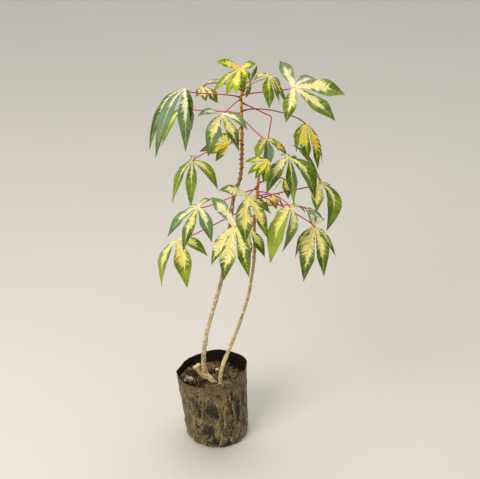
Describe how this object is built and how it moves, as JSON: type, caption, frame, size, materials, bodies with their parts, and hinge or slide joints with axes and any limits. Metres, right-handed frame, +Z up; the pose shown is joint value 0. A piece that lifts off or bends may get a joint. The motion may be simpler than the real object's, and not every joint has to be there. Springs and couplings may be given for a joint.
{
  "type": "potted cassava",
  "caption": "Young variegated cassava with two leafy shoots, growing from a cutting in a filled black nursery bag; stands on the bag's flat base.",
  "frame": {"origin": "centre of the nursery bag's flat base, on the ground", "axes": "+Z up the stems, -Y toward the front of the plant, +X to the viewer's right"},
  "size_m": [0.3936, 0.294, 0.9297],
  "materials": {
    "film": "thin black polythene, dusty and creased, half glossy",
    "soil": "crumbly damp red-brown soil",
    "clod": "dry, dull",
    "pebble": "dull",
    "tall_bark": "pale tan bark below, orange-brown above, with raised leaf scars",
    "short_bark": "smooth olive-tan bark, reddish higher up",
    "stalk": "smooth dark pink skin",
    "leaf": "satin green with a feathered cream-yellow centre",
    "young_leaf": "satin golden yellow with green edges",
    "shaded_leaf": "satin yellow and green"
  },
  "bodies": {
    "root": {"nursery_bag": "film", "potting_soil": "soil", "surface_clod": "clod", "white_pebble": "pebble", "tall_stem": "tall_bark", "short_stem": "short_bark", "tall_tip_leaf_blade": "young_leaf", "tall_tip_leaf_stalk": "stalk", "tall_leaf_01_blade": "leaf", "tall_leaf_01_stalk": "stalk", "tall_leaf_02_blade": "leaf", "tall_leaf_02_stalk": "stalk", "tall_leaf_03_blade": "leaf", "tall_leaf_03_stalk": "stalk", "tall_leaf_04_blade": "young_leaf", "tall_leaf_04_stalk": "stalk", "tall_leaf_05_blade": "leaf", "tall_leaf_05_stalk": "stalk", "tall_leaf_06_blade": "leaf", "tall_leaf_06_stalk": "stalk", "tall_leaf_07_blade": "leaf", "tall_leaf_07_stalk": "stalk", "tall_leaf_08_blade": "leaf", "tall_leaf_08_stalk": "stalk", "tall_leaf_09_blade": "shaded_leaf", "tall_leaf_09_stalk": "stalk", "tall_leaf_10_blade": "leaf", "tall_leaf_10_stalk": "stalk", "tall_leaf_11_blade": "leaf", "tall_leaf_11_stalk": "stalk", "tall_leaf_12_blade": "shaded_leaf", "tall_leaf_12_stalk": "stalk", "short_leaf_01_blade": "leaf", "short_leaf_01_stalk": "stalk", "short_leaf_02_blade": "young_leaf", "short_leaf_02_stalk": "stalk", "short_leaf_03_blade": "leaf", "short_leaf_03_stalk": "stalk", "short_leaf_04_blade": "leaf", "short_leaf_04_stalk": "stalk", "short_leaf_05_blade": "leaf", "short_leaf_05_stalk": "stalk", "short_leaf_06_blade": "leaf", "short_leaf_06_stalk": "stalk", "short_leaf_07_blade": "leaf", "short_leaf_07_stalk": "stalk", "short_leaf_08_blade": "leaf", "short_leaf_08_stalk": "stalk", "short_leaf_09_blade": "leaf", "short_leaf_09_stalk": "stalk", "short_leaf_10_blade": "shaded_leaf", "short_leaf_10_stalk": "stalk", "short_leaf_11_blade": "shaded_leaf", "short_leaf_11_stalk": "stalk", "short_leaf_12_blade": "shaded_leaf", "short_leaf_12_stalk": "stalk", "short_leaf_13_blade": "leaf", "short_leaf_13_stalk": "stalk"}
  },
  "joints": []
}
